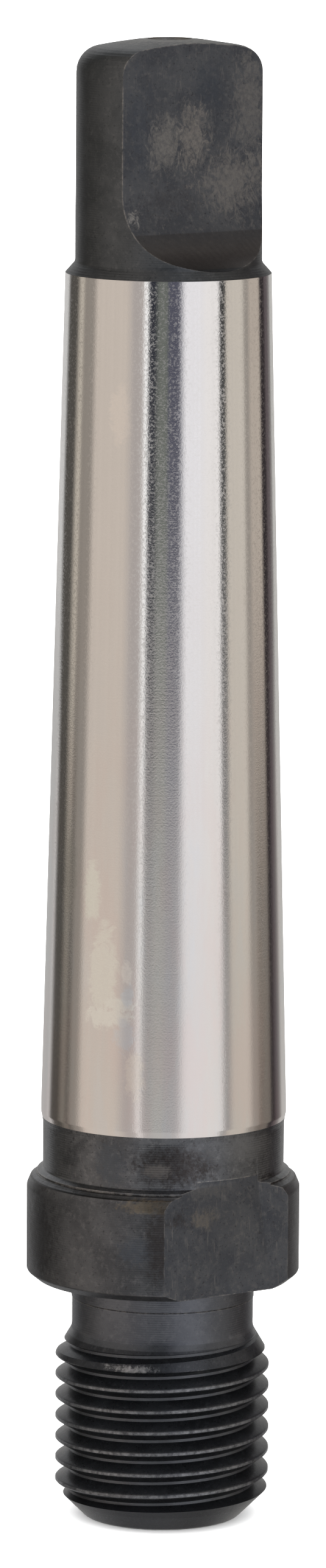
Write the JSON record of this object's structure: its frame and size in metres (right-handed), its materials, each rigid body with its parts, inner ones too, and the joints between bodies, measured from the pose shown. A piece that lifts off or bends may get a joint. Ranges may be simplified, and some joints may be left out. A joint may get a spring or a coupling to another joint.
{
  "type": "morse taper chuck arbor",
  "caption": "One-piece steel arbor: Morse taper shank with a flat tang, a collar with wrench flats and a threaded nose that carries a drill chuck.",
  "frame": {"origin": "centre of the threaded nose's end face, on the axis, which is the bottom centre of the bounding box", "axes": "+Z runs along the axis from the threaded nose to the tang; the tang flats and the wrench flats face -Y and +Y; +X lies in the plane of the tang"},
  "size_m": [0.0202, 0.0182, 0.1096],
  "materials": {
    "arbor_steel": "bright ground taper; black-oxided turned and milled surfaces elsewhere"
  },
  "bodies": {
    "root": {"arbor": "arbor_steel"}
  },
  "joints": []
}
